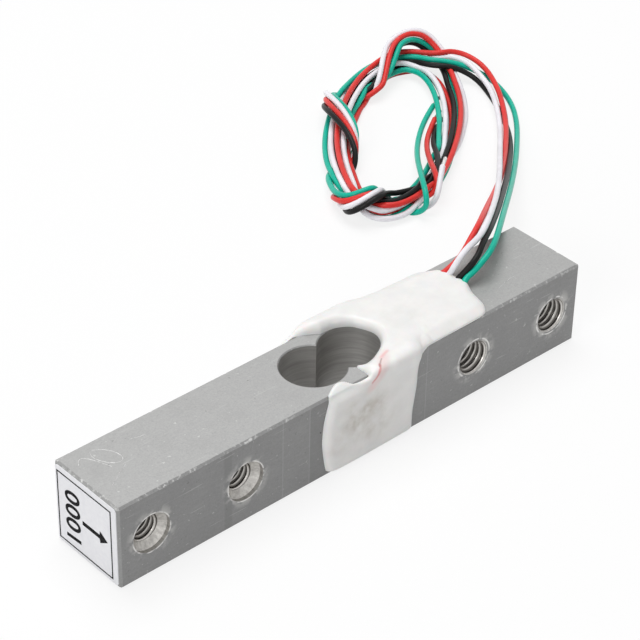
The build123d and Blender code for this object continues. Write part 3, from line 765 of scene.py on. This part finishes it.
# Painted shade and highlight: the thread's roots are painted nearly black and its crests light, as shade and
# light would fall on them.
tapped.two_tone(crest, 0.35, 0.95, (0.10, 0.093, 0.085), (0.66, 0.64, 0.61))
tapped.bump(tapped.noise(4000.0), 0.1, 0.00005)
for name, (x, thread) in THREADS.items():
    wear(thread_sleeve(name, x, **thread), tapped)
print("threads", list(THREADS))

# %% [markdown]
# ## The silicone seal
# After the gauges are wired, white silicone is spread over them by hand: over the top from the hole's
# rim to the leads, and down both sides. It is a skin of uneven thickness with rounded edges. A sculpted
# blob could do, but the skin has to follow the bar exactly. So it is worked out on a flat map of the
# bar: x along it, s round it from the front's foot over the top to the rear's foot. An outline drawn on
# that map gives every point's distance to the edge, the distance gives the thickness, and the map is
# then folded round the bar. Where a hidden wire or joint would come through, the skin is raised over it.

# %% Outline of the seal on the flat map
SEAL_OUTLINE = np.array([
    (-6.35, -12.3), (-6.74, -10.9), (-7.05, -9.0), (-7.27, -7.2), (-7.2, -5.4), (-7.06, -4.1),
    (-6.67, -2.3), (-6.2, -0.8), (-6.35, 0.0), (-5.9, 0.5), (-5.29, 0.82), (-4.28, 1.37), (-3.26, 1.34),
    (-2.39, 0.74), (-2.0, 0.08), (-1.0, -0.1), (0.0, -0.1), (0.7, 0.0), (0.75, 0.6), (0.7, 2.2),
    (0.85, 2.6), (1.3, 2.35), (1.97, 2.02), (3.17, 2.15), (4.5, 2.7), (5.79, 3.42), (6.86, 4.4),
    (7.43, 5.57), (7.5, 6.5), (7.3, 7.4), (6.75, 8.6), (6.35, 9.4), (5.4, 10.2), (4.3, 10.7),
    (3.1, 10.9), (2.07, 10.85), (1.47, 11.34), (0.4, 11.95), (-0.61, 12.42), (-1.3, 12.7), (-3.4, 13.2),
    (-5.6, 13.6), (-6.7, 15.0), (-7.1, 17.5), (-7.2, 20.5), (-6.8, 23.0), (-6.4, 25.0), (-2.0, 25.15),
    (3.0, 25.1), (8.4, 25.0), (8.6, 22.0), (8.95, 19.5), (9.1, 16.5), (9.5, 13.6), (11.0, 13.1),
    (15.0, 13.05), (19.0, 12.95), (21.4, 12.75), (21.95, 12.35), (23.03, 11.22), (23.48, 10.44),
    (24.0, 8.6), (24.3, 6.8), (24.2, 5.6), (23.6, 4.41), (23.25, 2.9), (22.9, 1.4), (22.3, 0.5),
    (21.4, 0.0), (19.5, -0.12), (15.0, -0.15), (10.8, -0.2), (9.6, -0.5), (9.18, -2.9), (9.14, -5.0),
    (8.9, -6.95), (8.54, -8.9), (8.47, -11.0), (8.5, -12.25), (5.0, -12.35), (-2.0, -12.4)])
MAP_STEP = 0.16


def distance_inside(x, s, loop):
    """Distance from each map point to a closed outline, positive inside it."""
    a, b = loop, np.roll(loop, -1, axis=0)
    point = np.stack([x, s], axis=-1)[..., None, :]
    run = b - a
    share = np.clip(((point - a) * run).sum(-1) / (run * run).sum(-1), 0, 1)
    nearest = np.linalg.norm(point - a - share[..., None] * run, axis=-1).min(-1)
    above = (a[:, 1] > s[..., None]) != (b[:, 1] > s[..., None])
    crossing = a[:, 0] + (s[..., None] - a[:, 1]) * run[:, 0] / np.where(run[:, 1] == 0, 1e-9, run[:, 1])
    inside = (above & (x[..., None] < crossing)).sum(-1) % 2 == 1
    return np.where(inside, nearest, -nearest)


loop = cut_corners(SEAL_OUTLINE, 2, closed=True)
map_x, map_s = np.meshgrid(np.arange(-8.2, 25.4, MAP_STEP), np.arange(-13.2, 26.2, MAP_STEP), indexing="ij")
reach = distance_inside(map_x, map_s, loop)
print("seal map", map_x.shape, "deepest point", round(float(reach.max()), 2), "mm from the edge")


# %% Thickness of the seal
def bell(x0, s0, wide, deep):
    """A smooth mound on the map: one at its middle, falling with the squared distance."""
    return np.exp(-((map_x - x0) / wide) ** 2 - ((map_s - s0) / deep) ** 2)


def soft_noise(x, s, seed, size):
    """A few crossed sine waves with fixed odd directions: gentle lumps of about the given size."""
    total = np.zeros_like(x)
    rng = np.random.default_rng(seed)
    for direction, phase, stretch in zip(rng.uniform(0, 2 * np.pi, 7), rng.uniform(0, 2 * np.pi, 7),
                                         rng.uniform(0.7, 1.6, 7)):
        along = x * np.cos(direction) + s * np.sin(direction)
        total += np.sin(2 * np.pi * along / (size * stretch) + phase)
    return total / 7


def span(value, start, end, soft):
    """One between start and end, nought outside, with soft shoulders of the given width."""
    return np.clip((value - start) / soft + 0.5, 0, 1) * np.clip((end - value) / soft + 0.5, 0, 1)


def seal_thickness():
    """Full thickness by place, rounded down to nothing at the outline, with hand-made lumps."""
    on_top = span(map_s, -0.1, 12.8, 0.8)
    full = 0.86 + on_top * (0.22 + 0.35 * bell(15.5, 7.2, 7.5, 5.2) - 0.45 * bell(19.0, 12.9, 7.0, 2.6)
                            - 0.42 * bell(16.0, -0.2, 6.5, 1.6))
    full = full - 0.2 * np.exp(-(map_s / 0.7) ** 2) - 0.2 * np.exp(-((map_s - BAR_HEIGHT) / 0.7) ** 2)
    full = full + 0.25 * span(map_x, 2.4, 9.4, 2.6) * np.exp(-(map_s / 1.1) ** 2)
    full = full - 0.62 * span(map_x, -9.0, 0.7, 1.2) * bell(-2.5, 0.0, 9.0, 0.8)
    full = full + 0.42 * span(map_x, -1.5, 10.4, 6.0) * np.exp(-((map_s - BAR_HEIGHT) / 1.4) ** 2)
    full = full + 0.3 * bell(8.9, 0.5, 1.8, 1.5) - 0.22 * bell(-4.5, 0.7, 2.2, 1.0)
    full = full - 0.55 * bell(1.3, 2.1, 1.7, 0.9) - 0.15 * bell(-6.0, 12.7, 4.0, 2.0)
    full = full + 0.07 * soft_noise(map_x, map_s, 3, 6.0) + 0.02 * soft_noise(map_x, map_s, 8, 1.9)
    at_leads = span(map_x, 17.5, 26.0, 3.0) * span(map_s, 5.2, 11.0, 1.6)
    full = full + at_leads * np.maximum(0, 1.24 - full) + 0.1 * bell(5.2, 10.9, 2.6, 1.2)
    steep = span(map_x, 20.5, 30.0, 2.0) * span(map_s, 4.8, 11.2, 1.6)
    width = 1.15 + 0.6 * span(map_x, 10.0, 30.0, 2.0) - steep
    share = np.clip(reach / width, 0, 1)
    return full * np.sqrt(np.clip(1 - (1 - share) ** 2, 0, 1))


thickness = seal_thickness()
print("seal thickness up to", round(float(thickness.max()), 2), "mm")


# %% Fold the map round the bar
def fold(x, s, out):
    """A point of the map on the bar's skin, moved outwards; the outward direction turns at the edges."""
    y = np.clip(s - HALF_SIDE, -HALF_SIDE, HALF_SIDE)
    z = np.where(s < 0, BAR_HEIGHT + s, np.where(s > BAR_HEIGHT, 2 * BAR_HEIGHT - s, BAR_HEIGHT))
    front = np.clip(0.5 - s / 1.8, 0, 1)
    rear = np.clip(0.5 + (s - BAR_HEIGHT) / 1.8, 0, 1)
    lean = (rear ** 2 * (3 - 2 * rear) - front ** 2 * (3 - 2 * front)) * np.pi / 2
    return np.stack([x, y + out * np.sin(lean), z + out * np.cos(lean)], axis=-1)


def seal_mesh():
    """The folded skin over an under-skin just inside the bar, joined along the outline."""
    slope_x, slope_s = np.gradient(reach, MAP_STEP)
    steep = np.maximum(np.hypot(slope_x, slope_s), 0.3) ** 2
    outside = reach < 0
    shift = np.where(outside, -reach, 0) / steep
    x, s = map_x + shift * slope_x, map_s + shift * slope_s
    rows, columns = map_x.shape
    upper = fold(x, s, thickness).reshape(-1, 3)
    lower = fold(x, s, np.full_like(thickness, -0.03)).reshape(-1, 3)
    cells = grid_faces(rows, columns)
    kept = cells[(reach.ravel()[cells] > 0).any(axis=1)]
    edges = np.concatenate([kept[:, [0, 1]], kept[:, [1, 2]], kept[:, [2, 3]], kept[:, [3, 0]]])
    forward = edges[:, 0].astype(np.int64) * rows * columns + edges[:, 1]
    backward = edges[:, 1].astype(np.int64) * rows * columns + edges[:, 0]
    rim = edges[~np.isin(forward, backward)]
    below = rows * columns
    wall = np.stack([rim[:, 1], rim[:, 0], rim[:, 0] + below, rim[:, 1] + below], axis=1)
    faces = np.vstack([kept, kept[:, ::-1] + below, wall])
    used, faces = np.unique(faces, return_inverse=True)
    return np.vstack([upper, lower])[used], faces.reshape(-1, 4), used


# %% Keep the hidden wires covered
UNDER_SEAL = ("gauge", "terminal", "jumper", "tab_solder", "lead_solder", "lead_cores")
COVER, NEAR_CELLS, BLUR_ROUNDS = 0.2, 4, 15


def points_along(mesh, most=40000):
    """Corners of a mesh in mm, and for a light mesh also four points along each edge."""
    corners = np.array([v.co for v in mesh.vertices]) / MM
    if len(corners) * 12 > most:
        return corners
    ends = corners[np.array([edge.vertices[:] for edge in mesh.edges])]
    shares = (0, 0.2, 0.4, 0.6, 0.8, 1.0)
    return np.vstack([ends[:, 0] * (1 - share) + ends[:, 1] * share for share in shares])


def cover_hidden(skin):
    """Raises the skin over every hidden point: each belongs to the map line that passes nearest to it."""
    covered = [node for name, node in nodes.items() if name.startswith(UNDER_SEAL)]
    hidden = np.vstack([points_along(node.data) for node in covered])
    places = map_s[0]
    base = fold(0 * places, places, 0 * places)[:, 1:]
    outward = fold(0 * places, places, 0 * places + 1)[:, 1:] - base
    away = hidden[:, None, 1:] - base[None]
    height = (away * outward).sum(-1)
    miss = np.linalg.norm(away - height[..., None] * outward, axis=-1) + np.where(height < 0, 9.0, 0)
    column = miss.argmin(axis=1)
    row = np.clip(np.round((hidden[:, 0] - map_x[0, 0]) / MAP_STEP).astype(int), 0, len(map_x) - 1)
    needed = np.zeros_like(skin)
    near = np.take_along_axis(miss, column[:, None], 1)[:, 0] < 0.3
    tall = np.take_along_axis(height, column[:, None], 1)[:, 0] + COVER
    np.maximum.at(needed, (row[near], column[near]), tall[near])
    for axis in (0, 1):
        steps = range(-NEAR_CELLS, NEAR_CELLS + 1)
        needed = np.max([np.roll(needed, step, axis) for step in steps], axis=0)
    for _ in range(BLUR_ROUNDS):
        for axis in (0, 1):
            needed = (np.roll(needed, 1, axis) + needed + np.roll(needed, -1, axis)) / 3
    needed = needed * np.clip(reach / 0.08, 0, 1)
    most = round(float((needed - skin).max()), 2)
    print("skin raised over", int((needed > skin).sum()), "cells, by up to", most, "mm")
    return np.maximum(skin, needed)


thickness = cover_hidden(thickness)
seal_points, seal_faces, seal_used = seal_mesh()
seal = finished(add_mesh("silicone_skin", seal_points, seal_faces), "silicone", "silicone_seal")
print("seal has", len(seal_faces), "faces")

# %% [markdown]
# Cured silicone is matt white with a slight sheen. In the photograph a brownish stain shows through on
# the front, and a red wire glows through where it passes over the edge. These are places on the map, so
# they are written on the mesh as colour attributes from the same mounds that shape it, and the finish
# mixes them in.

# %% Silicone finish
def seal_tint(name, values):
    layer = seal.data.attributes.new(name, "FLOAT", "POINT")
    flat = np.concatenate([values.ravel(), values.ravel()])[seal_used]
    layer.data.foreach_set("value", flat.astype(np.float32))


stain = bell(-2.2, -5.1, 2.9, 2.7) + 0.8 * bell(1.0, -4.2, 2.8, 2.0) + 0.6 * bell(-5.6, -8.6, 1.6, 1.5)
stain = stain + 0.6 * bell(1.2, -8.2, 3.6, 2.2) + 0.25 * bell(12.0, 5.6, 4.0, 2.5)
seal_tint("stain", np.clip(stain * (0.8 + 0.5 * soft_noise(map_x, map_s, 5, 2.6)), 0, 1))
seal_tint("round_the_bar", map_s)
silicone = Finish("white_silicone", (0.80, 0.79, 0.775), 0.42,
                  Subsurface_Weight=0.12, Subsurface_Scale=0.0006)


def tint(name):
    return silicone.node("ShaderNodeAttribute", attribute_name=name).outputs["Fac"]


def times(value, number):
    return silicone.math("MULTIPLY", value, number)


def streak(x0, s0, x1, s1, width, soft):
    """A straight soft line on the map from one place to another, a little crooked."""
    crooked = silicone.remap(silicone.noise(700.0, 2.0), 0.0, 1.0, -0.28, 0.28)
    x = silicone.math("ADD", silicone.math("SUBTRACT", Places(silicone).x, x0), crooked)
    s = silicone.math("SUBTRACT", tint("round_the_bar"), s0)
    long = float(np.hypot(x1 - x0, s1 - s0))
    run_x, run_s = (x1 - x0) / long, (s1 - s0) / long
    along = silicone.math("ADD", times(x, run_x), times(s, run_s))
    across = silicone.math("ABSOLUTE", silicone.math("SUBTRACT", times(x, run_s), times(s, run_x)))
    past = silicone.math("ABSOLUTE", silicone.math("SUBTRACT", along, long / 2))
    line = silicone.remap(across, width, width + soft, 1.0, 0.0)
    return times(line, silicone.remap(past, long / 2 - soft, long / 2 + soft, 1.0, 0.0))


uneven = silicone.remap(silicone.noise(420.0), 0.35, 0.7)
silicone_shade = silicone.mix(uneven, (0.83, 0.822, 0.808), (0.78, 0.775, 0.765))
stained = silicone.remap(silicone.noise(750.0, 4.0), 0.3, 0.7, 0.25, 0.8)
stained = times(tint("stain"), stained)
silicone_shade = silicone.mix(stained, silicone_shade, (0.46, 0.42, 0.36))
STREAKS = [((-0.1, -1.6, 5.0, 1.5, 0.12, 0.6), 0.36, (0.80, 0.44, 0.43)),
           ((0.6, -0.75, 2.6, 0.4, 0.02, 0.13), 0.75, (0.66, 0.18, 0.18)),
           ((2.1, 0.2, 3.5, 0.75, 0.02, 0.09), 0.6, (0.24, 0.10, 0.09)),
           ((3.5, 0.85, 5.3, 1.5, 0.06, 0.25), 0.45, (0.78, 0.34, 0.34))]
for place, strength, colour in STREAKS:
    silicone_shade = silicone.mix(times(streak(*place), strength), silicone_shade, colour)
silicone.join(silicone_shade, "Base Color")
silicone.bump(silicone.noise(900.0, 4.0), 0.12, 0.0001)
wear(seal, silicone)

# %% [markdown]
# ## The sticker
# A small paper sticker covers the near end. It has a thin black frame, a bold arrow and a plain number.
# Frame, arrow and digits are separate thin prints that lie on the paper.

# %% Sticker
PAPER_FACE, INK = -40.1, 0.02
FRAME_Y, FRAME_Z, FRAME_LINE = (-5.03, 5.74), (0.85, 11.6), 0.21


def print_on_paper(name, outline, faces):
    """Flat shapes given as (y, z) on the paper, lifted by the ink's thickness and closed underneath."""
    outline = np.array(outline, float)
    count = len(outline)
    top = np.column_stack([np.full(count, PAPER_FACE - INK), outline])
    bottom = np.column_stack([np.full(count, PAPER_FACE + INK), outline])
    faces = [list(face) for face in faces]
    sides = [side for face in faces for side in zip(face, face[1:] + face[:1])]
    walls = [[b, a, a + count, b + count] for a, b in sides if (b, a) not in sides]
    below = [[v + count for v in reversed(face)] for face in faces]
    return finished(add_mesh(name, np.vstack([top, bottom]), faces + below + walls, smooth=False), "label")


y0, y1, z0, z1, w = *FRAME_Y, *FRAME_Z, FRAME_LINE
frame_outline = [(y0, z0), (y1, z0), (y1, z1), (y0, z1),
                 (y0 + w, z0 + w), (y1 - w, z0 + w), (y1 - w, z1 - w), (y0 + w, z1 - w)]
frame_faces = [(0, 4, 5, 1), (1, 5, 6, 2), (2, 6, 7, 3), (3, 7, 4, 0)]
label_frame = print_on_paper("sticker_frame", frame_outline, frame_faces)
arrow_outline = [(0.8, 5.84), (0.8, 6.46), (-2.6, 6.46), (-2.7, 7.1),
                 (-4.2, 6.15), (-2.7, 5.2), (-2.6, 5.84)]
label_arrow = print_on_paper("sticker_arrow", arrow_outline, [(6, 2, 1, 0), (6, 5, 4, 3, 2)])


def digits(name, text, height, depth, place):
    """Plain digits as a mesh: the letters' own x and y go through place, a 4 by 4 matrix in mm."""
    curve = bpy.data.curves.new(name, "FONT")
    curve.body = text
    curve.size = height
    curve.extrude = depth
    curve.shear = -0.08
    curve.offset = 0.07
    curve.space_character = 1.06
    source = add_object(name + "_source", curve)
    bpy.context.view_layer.update()
    mesh = bpy.data.meshes.new_from_object(source)
    bpy.data.objects.remove(source)
    mesh.transform(place)
    mesh.transform(Matrix.Scale(MM, 4))
    mesh.name = name
    return add_object(name, mesh)


text_place = Matrix(((0, 0, -1, PAPER_FACE), (0, 1, 0, 1.35), (1, 0, 0, 1.5), (0, 0, 0, 1)))
label_digits = finished(digits("sticker_digits", "1000", 4.05, INK, text_place), "label")
ink = Finish("black_print", (0.01, 0.01, 0.011), 0.8, Specular_IOR_Level=0.08)
ink.two_tone(ink.noise(2500.0), 0.45, 0.75, (0.008, 0.008, 0.009), (0.035, 0.035, 0.036))
for piece in (label_frame, label_arrow, label_digits):
    wear(piece, ink)
paper = Finish("sticker_paper", (0.80, 0.80, 0.82), 0.55)
paper.two_tone(paper.noise(1400.0, 5.0), 0.3, 0.75, (0.80, 0.80, 0.82), (0.74, 0.74, 0.77))
paper.bump(paper.noise(1800.0, 4.0), 0.1, 0.00005)
wear(nodes["rating_label"], paper)
print("sticker digits", len(label_digits.data.polygons), "faces")

# %% [markdown]
# ## What lies under the silicone
# Gauges, board, jumpers and solder are hidden by the seal but belong to the part, and whoever takes the
# seal off finds them finished. They keep their CAD shapes and get plain finishes of their own.

# %% Hidden pieces
film = Finish("amber_film", (0.55, 0.27, 0.05), 0.25)
film.two_tone(film.noise(900.0), 0.0, 1.0, (0.50, 0.24, 0.045), (0.62, 0.32, 0.07))
foil = Finish("etched_foil", (0.52, 0.47, 0.40), 0.3, 0.9)
foil.bump(foil.noise(5000.0), 0.1, 0.00003)
copper = Finish("bare_copper", (0.72, 0.40, 0.24), 0.3, 1.0)
copper.two_tone(copper.noise(1500.0), 0.0, 1.0, (0.72, 0.40, 0.24), (0.60, 0.31, 0.18))
laminate = Finish("board_laminate", (0.03, 0.12, 0.05), 0.45)
laminate.two_tone(laminate.noise(1200.0), 0.0, 1.0, (0.03, 0.12, 0.05), (0.045, 0.16, 0.07))
hidden = {"gauge_film": film, "gauge_foil": foil, "gauge_link": copper, "terminal_pads": copper,
          "lead_cores": copper, "terminal_board": laminate, "tab_solder": tinned, "jumper_solder": tinned,
          "lead_solder": tinned}
for name, node in nodes.items():
    for start, finish in hidden.items():
        if name.startswith(start):
            wear(node, finish)
    if name.startswith(("jumper_front", "jumper_rear")):
        wear(node, insulation[name.split("_")[-1]])

# %% [markdown]
# ## Floor and light
# The photograph is a product shot: white all round, soft light from above, a darker front. A big lamp
# over the bar and a weak pale world give that, helped by the bar's front being painted darker as shade.
# The floor looks white to the camera through Light Path, and keeps a faint shadow.

# %% Floor, world and lamps
FLOOR_SIZE = 3.0
floor_corners = np.array([[-1, -1, 0], [1, -1, 0], [1, 1, 0], [-1, 1, 0]]) * FLOOR_SIZE / 2 / MM
floor = add_mesh("floor", floor_corners, [[0, 1, 2, 3]])
ground = Finish("floor_paper", (0.9, 0.9, 0.9), 0.9, Specular_IOR_Level=0.1)


def seen_directly(tree):
    """One where a camera, mirror or glass ray arrives, nought for the soft light that falls on things."""
    rays = tree.nodes.new("ShaderNodeLightPath")
    output = rays.outputs["Is Camera Ray"]
    for other in ("Is Glossy Ray", "Is Transmission Ray"):
        either = tree.nodes.new("ShaderNodeMath")
        either.operation = "MAXIMUM"
        tree.links.new(output, either.inputs[0])
        tree.links.new(rays.outputs[other], either.inputs[1])
        output = either.outputs[0]
    return output


glow = ground.node("ShaderNodeEmission", {"Color": (1, 1, 1, 1), "Strength": 1.0})
blend = ground.node("ShaderNodeMixShader", {0: ground.math("MULTIPLY", seen_directly(ground.tree), 0.8),
                                            1: ground.shader.outputs[0], 2: glow.outputs[0]})
ground.tree.links.new(blend.outputs[0], ground.tree.nodes["Material Output"].inputs["Surface"])
wear(floor, ground)

world = bpy.data.worlds.new("studio")
world.use_nodes = True
bpy.context.scene.world = world
sky = world.node_tree
strength = sky.nodes.new("ShaderNodeMapRange")
strength.inputs["To Min"].default_value = 0.30
strength.inputs["To Max"].default_value = 1.0
sky.links.new(seen_directly(sky), strength.inputs["Value"])
sky.links.new(strength.outputs["Result"], sky.nodes["Background"].inputs["Strength"])
sky.nodes["Background"].inputs["Color"].default_value = (1, 1, 1, 1)


def lamp(name, place, aim, size, watts):
    """A square soft lamp at a place, turned towards a point."""
    light = add_object(name, bpy.data.lights.new(name, "AREA"))
    light.data.size = size
    light.data.energy = watts
    light.location = place
    light.rotation_euler = (Vector(aim) - Vector(place)).to_track_quat("-Z", "Y").to_euler()


lamp("overhead", (0.1, 0.2, 0.8), (0.02, 0.01, 0), 0.6, 5.0)
lamp("left", (-0.7, -0.2, 0.4), (0, 0, 0), 0.4, 2.6)

# %% View settings and the closing lines
bpy.context.scene.view_settings.view_transform = "Standard"
